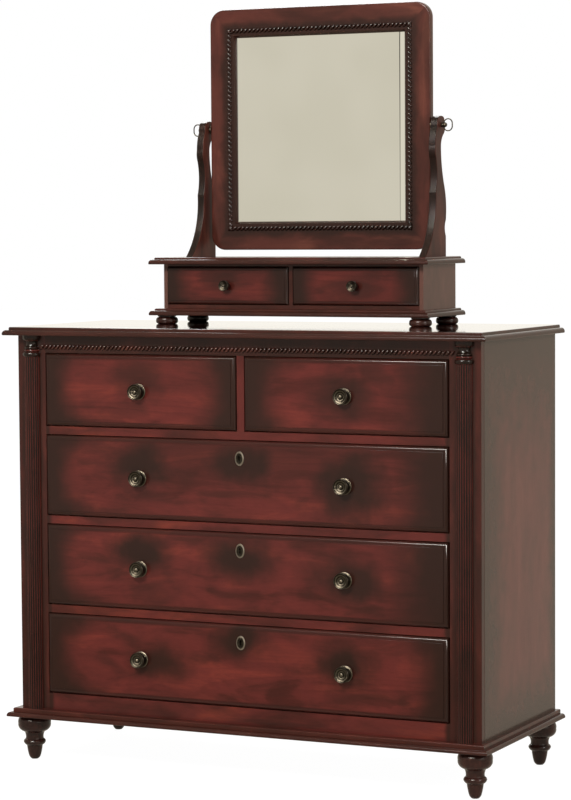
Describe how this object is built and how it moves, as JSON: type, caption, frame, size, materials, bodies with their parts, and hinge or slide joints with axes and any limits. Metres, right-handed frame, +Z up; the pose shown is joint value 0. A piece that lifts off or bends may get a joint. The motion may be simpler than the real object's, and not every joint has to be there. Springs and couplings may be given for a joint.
{
  "type": "dresser",
  "caption": "Chest dresser on turned feet with fluted split columns, inset drawers and a low stand of small drawers that carries a framed swing mirror.",
  "frame": {"origin": "on the floor, under the middle of the whole object's box", "axes": "+Z up, drawers face -Y, +X to the right of someone facing the drawers"},
  "size_m": [1.264, 0.526, 1.851],
  "materials": {
    "board_wood": "dark cherry stain under gloss lacquer",
    "front_wood": "red cherry burnished through dark glaze, gloss lacquer",
    "turned_wood": "near-black glaze, gloss lacquer",
    "mirror_wood": "red-brown stain, gloss lacquer",
    "rope_wood": "near-black glaze, satin",
    "inner_wood": "plain secondary wood, sealed",
    "silvered_glass": "polished, bevelled",
    "brass": "antiqued, dark in the hollows"
  },
  "bodies": {
    "dresser_case": {"top_board": "board_wood", "base_board": "board_wood", "feet": "turned_wood", "left_side_panel": "board_wood", "right_side_panel": "board_wood", "back_panel": "inner_wood", "left_post": "board_wood", "right_post": "board_wood", "left_column": "turned_wood", "right_column": "turned_wood", "frieze_rail": "board_wood", "frieze_rope_moulding": "rope_wood", "drawer_rails": "board_wood", "top_drawer_divider": "board_wood", "drawer_runners": "inner_wood", "drawer_guides": "inner_wood", "stand_base": "board_wood", "stand_top": "board_wood", "stand_sides": "board_wood", "stand_back": "inner_wood", "stand_floor": "inner_wood", "stand_rail": "board_wood", "stand_divider": "board_wood", "stand_feet": "turned_wood", "left_upright": "board_wood", "right_upright": "board_wood"},
    "top_left_drawer": {"top_left_drawer_front": "front_wood", "top_left_drawer_box": "inner_wood", "top_left_drawer_knob": "brass"},
    "top_right_drawer": {"top_right_drawer_front": "front_wood", "top_right_drawer_box": "inner_wood", "top_right_drawer_knob": "brass"},
    "upper_drawer": {"upper_drawer_front": "front_wood", "upper_drawer_box": "inner_wood", "upper_drawer_knobs": "brass", "upper_drawer_escutcheon": "brass"},
    "middle_drawer": {"middle_drawer_front": "front_wood", "middle_drawer_box": "inner_wood", "middle_drawer_knobs": "brass", "middle_drawer_escutcheon": "brass"},
    "lower_drawer": {"lower_drawer_front": "front_wood", "lower_drawer_box": "inner_wood", "lower_drawer_knobs": "brass", "lower_drawer_escutcheon": "brass"},
    "stand_left_drawer": {"stand_left_drawer_front": "front_wood", "stand_left_drawer_box": "inner_wood", "stand_left_drawer_knob": "brass"},
    "stand_right_drawer": {"stand_right_drawer_front": "front_wood", "stand_right_drawer_box": "inner_wood", "stand_right_drawer_knob": "brass"},
    "mirror": {"mirror_top_rail": "mirror_wood", "mirror_bottom_rail": "mirror_wood", "mirror_left_stile": "mirror_wood", "mirror_right_stile": "mirror_wood", "mirror_rope_moulding": "rope_wood", "mirror_glass": "silvered_glass", "mirror_backing": "inner_wood", "mirror_pivot_plates": "brass"},
    "left_thumbscrew": {"left_thumbscrew": "brass"},
    "right_thumbscrew": {"right_thumbscrew": "brass"}
  },
  "joints": [
    {"name": "top_left_drawer_slide", "type": "slide", "parent": "dresser_case", "child": "top_left_drawer", "axis": [0, -1, 0], "range_m": [0, 0.33]},
    {"name": "top_right_drawer_slide", "type": "slide", "parent": "dresser_case", "child": "top_right_drawer", "axis": [0, -1, 0], "range_m": [0, 0.33]},
    {"name": "upper_drawer_slide", "type": "slide", "parent": "dresser_case", "child": "upper_drawer", "axis": [0, -1, 0], "range_m": [0, 0.33]},
    {"name": "middle_drawer_slide", "type": "slide", "parent": "dresser_case", "child": "middle_drawer", "axis": [0, -1, 0], "range_m": [0, 0.33]},
    {"name": "lower_drawer_slide", "type": "slide", "parent": "dresser_case", "child": "lower_drawer", "axis": [0, -1, 0], "range_m": [0, 0.33]},
    {"name": "stand_left_drawer_slide", "type": "slide", "parent": "dresser_case", "child": "stand_left_drawer", "axis": [0, -1, 0], "range_m": [0, 0.13]},
    {"name": "stand_right_drawer_slide", "type": "slide", "parent": "dresser_case", "child": "stand_right_drawer", "axis": [0, -1, 0], "range_m": [0, 0.13]},
    {"name": "mirror_swing", "type": "hinge", "parent": "dresser_case", "child": "mirror", "pos_m": [0, 0.23, 1.551], "axis": [1, 0, 0], "range_deg": [-90, 90]},
    {"name": "left_thumbscrew_turn", "type": "hinge", "parent": "dresser_case", "child": "left_thumbscrew", "pos_m": [-0.3263, 0.23, 1.551], "axis": [-1, 0, 0], "range_deg": [0, 360]},
    {"name": "right_thumbscrew_turn", "type": "hinge", "parent": "dresser_case", "child": "right_thumbscrew", "pos_m": [0.3263, 0.23, 1.551], "axis": [1, 0, 0], "range_deg": [0, 360]}
  ]
}
